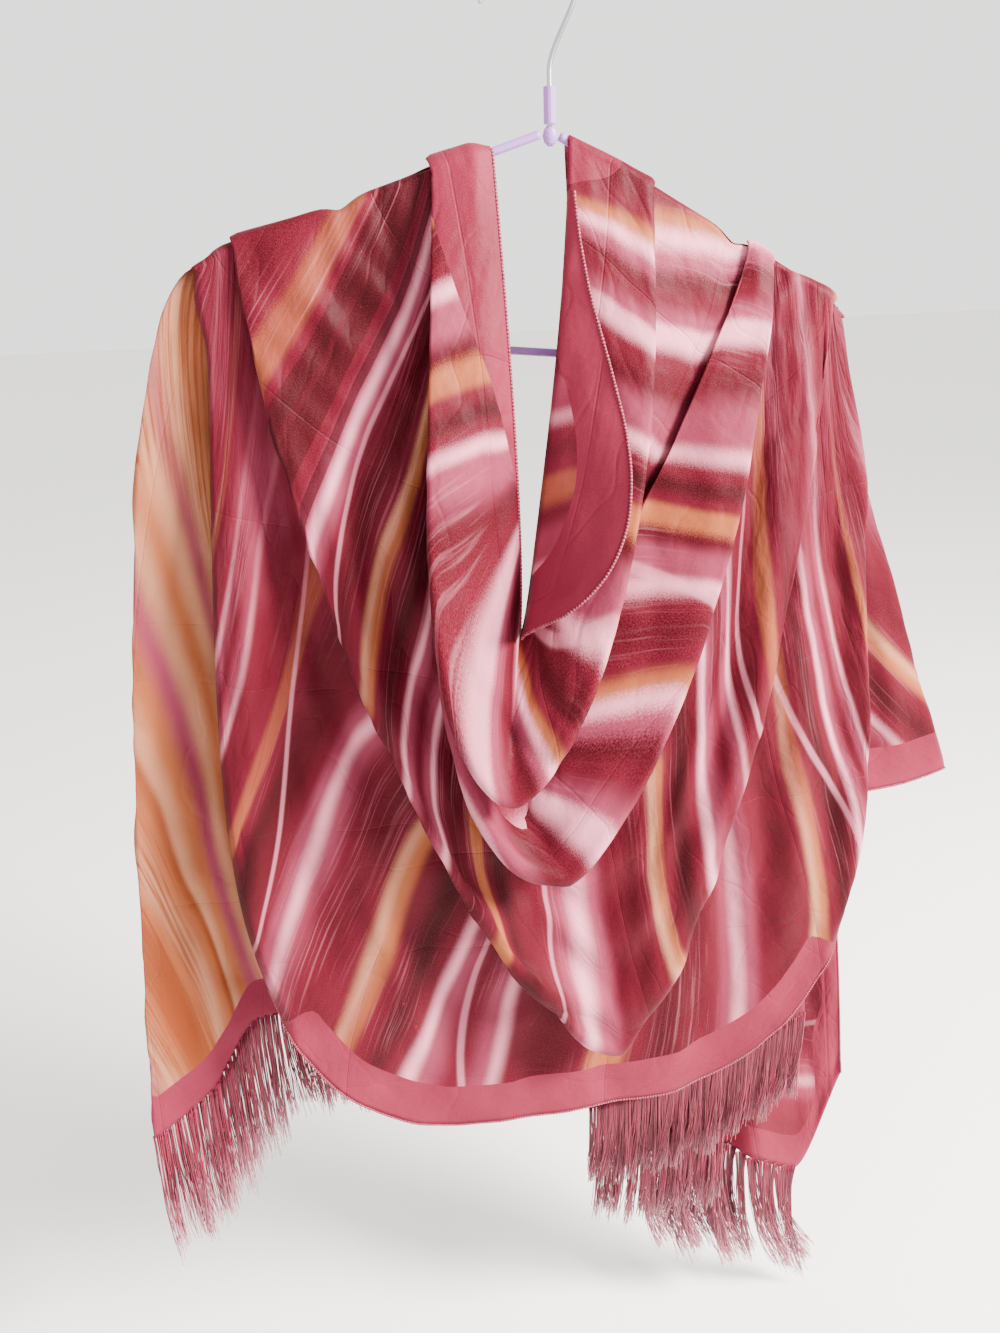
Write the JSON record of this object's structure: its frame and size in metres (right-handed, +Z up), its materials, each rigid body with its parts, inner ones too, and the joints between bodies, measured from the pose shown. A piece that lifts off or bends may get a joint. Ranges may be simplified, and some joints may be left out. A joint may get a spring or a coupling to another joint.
{
  "type": "fringed scarf on a wire hanger",
  "caption": "Thin printed scarf with overlocked edges and a thread fringe on both short ends, wound in hanging cowls over a coated wire hanger.",
  "frame": {"origin": "inner top of the hook, where it bears on the rod that holds it", "axes": "+X right, +Y away from the viewer, +Z up"},
  "size_m": [0.6305, 0.1523, 1.0646],
  "materials": {
    "printed_cloth": "thin printed crepe, soft sheen",
    "printed_cloth_end": "thin printed crepe, soft sheen",
    "thread": "shiny thread",
    "coating": "smooth coating",
    "steel": "bright plated"
  },
  "bodies": {
    "root": {"neckline": "printed_cloth", "lapel": "printed_cloth", "inner_cowl": "printed_cloth", "middle_cowl": "printed_cloth", "front_panel": "printed_cloth", "back_left": "printed_cloth_end", "back_right": "printed_cloth", "tier_middle": "printed_cloth", "right_end": "printed_cloth", "side_flare": "printed_cloth", "fringe_left": "thread", "fringe_right_upper": "thread", "fringe_right_middle": "thread", "fringe_right_lower": "thread", "hook": "steel", "neck_sleeve": "coating", "neck_boss": "coating", "arm_left": "coating", "arm_right": "coating", "bar": "coating"}
  },
  "joints": []
}
